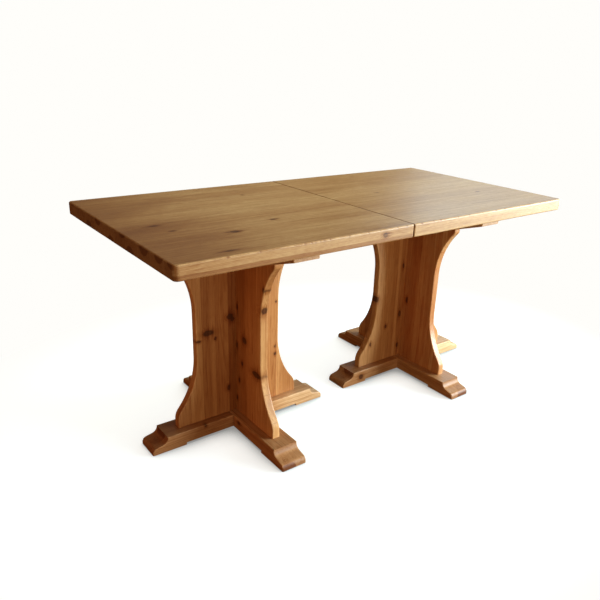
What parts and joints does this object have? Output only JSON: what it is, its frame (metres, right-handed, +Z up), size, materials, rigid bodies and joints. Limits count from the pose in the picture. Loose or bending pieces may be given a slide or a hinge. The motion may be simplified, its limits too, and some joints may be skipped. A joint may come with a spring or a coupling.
{
  "type": "extending pedestal table",
  "caption": "Rectangular pine dining table with a top split across the middle, standing on cross-shaped pedestals with moulded feet, that pulls apart on wooden runners.",
  "frame": {"origin": "on the floor, under the middle of the closed table", "axes": "+X along the table, the way the right half pulls out; -Y is the front; +Z up"},
  "size_m": [1.6, 0.8, 0.76],
  "materials": {
    "pine_top": "satin lacquered knotty pine, glued staves along the table",
    "pine_panel": "satin lacquered knotty pine, glued upright staves",
    "pine_foot": "satin lacquered pine, moulded ends",
    "pine_bearer": "satin lacquered pine",
    "beech": "plain waxed beech",
    "dowel_beech": "plain beech dowel",
    "screw_steel": "zinc plated",
    "hook_steel": "zinc plated pressed steel"
  },
  "bodies": {
    "left_half": {"left_top": "pine_top", "left_long_foot": "pine_foot", "left_cross_foot": "pine_foot", "left_long_panel": "pine_panel", "left_front_panel": "pine_panel", "left_rear_panel": "pine_panel", "left_long_bearer": "pine_bearer", "left_cross_bearer": "pine_bearer", "left_front_runner": "beech", "left_rear_runner": "beech", "left_foot_screws": "screw_steel", "left_panel_screws": "screw_steel", "left_top_screws": "screw_steel", "left_runner_screws": "screw_steel", "left_panel_dowels": "dowel_beech", "seam_dowels": "dowel_beech", "hook_pivot_screws": "screw_steel"},
    "right_half": {"right_top": "pine_top", "right_long_foot": "pine_foot", "right_cross_foot": "pine_foot", "right_long_panel": "pine_panel", "right_front_panel": "pine_panel", "right_rear_panel": "pine_panel", "right_long_bearer": "pine_bearer", "right_cross_bearer": "pine_bearer", "right_front_runner": "beech", "right_rear_runner": "beech", "right_foot_screws": "screw_steel", "right_panel_screws": "screw_steel", "right_top_screws": "screw_steel", "right_runner_screws": "screw_steel", "right_panel_dowels": "dowel_beech", "hook_keeper_screws": "screw_steel"},
    "front_hook": {"front_hook": "hook_steel"},
    "rear_hook": {"rear_hook": "hook_steel"}
  },
  "joints": [
    {"name": "table_extension", "type": "slide", "parent": "left_half", "child": "right_half", "axis": [1, 0, 0], "range_m": [0, 0.45]},
    {"name": "front_hook_pivot", "type": "hinge", "parent": "left_half", "child": "front_hook", "pos_m": [-0.042, -0.27, 0.7161], "axis": [0, 0, 1], "range_deg": [0, 90]},
    {"name": "rear_hook_pivot", "type": "hinge", "parent": "left_half", "child": "rear_hook", "pos_m": [-0.042, 0.27, 0.7161], "axis": [0, 0, -1], "range_deg": [0, 90]}
  ]
}
